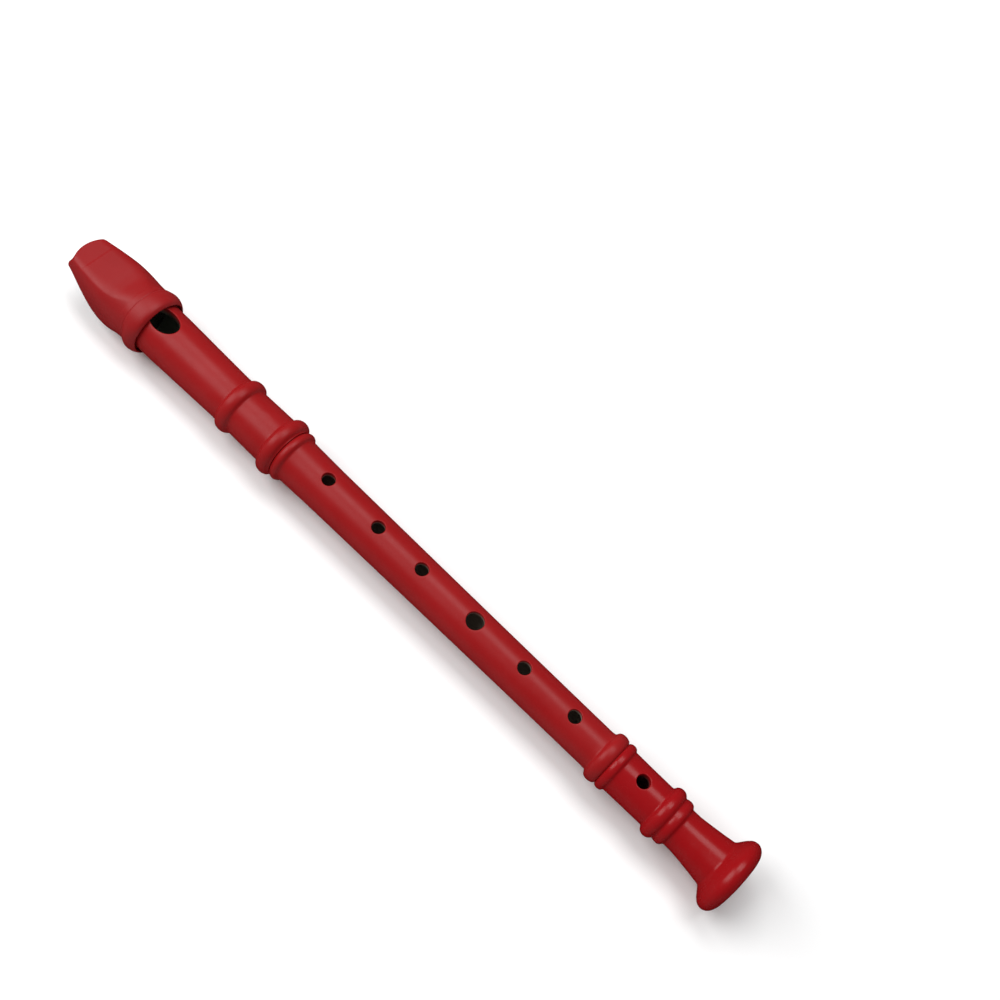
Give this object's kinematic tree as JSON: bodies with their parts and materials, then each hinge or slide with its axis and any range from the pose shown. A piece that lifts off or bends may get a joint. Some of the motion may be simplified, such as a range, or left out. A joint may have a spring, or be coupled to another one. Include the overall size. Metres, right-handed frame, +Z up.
{
  "type": "soprano recorder",
  "caption": "Soprano recorder of moulded plastic: beaked mouthpiece cap, head with oval window, body with finger holes, and a turning foot joint with a flared bell.",
  "frame": {"origin": "under the middle of the recorder's length, on the surface it lies on, at the level of the bell rim's lowest side", "axes": "+X along the bore from the mouthpiece to the bell, +Z up through the finger holes, +Y to the left of a player looking along +X"},
  "size_m": [0.3262, 0.029, 0.0289],
  "materials": {
    "satin_plastic": "satin, fine grain",
    "foot_plastic": "semi-gloss",
    "block_plastic": "semi-gloss"
  },
  "bodies": {
    "body": {"body_tube": "satin_plastic"},
    "head": {"mouthpiece_cap": "satin_plastic", "fipple_block": "block_plastic", "head_tube": "satin_plastic"},
    "foot": {"foot_joint": "foot_plastic"}
  },
  "joints": [
    {"name": "head_tuning_slide", "type": "slide", "parent": "body", "child": "head", "axis": [-1, 0, 0], "range_m": [0, 0.015]},
    {"name": "foot_turn", "type": "hinge", "parent": "body", "child": "foot", "pos_m": [0.10975, 0, 0.01446], "axis": [1, 0, 0], "continuous": true}
  ]
}
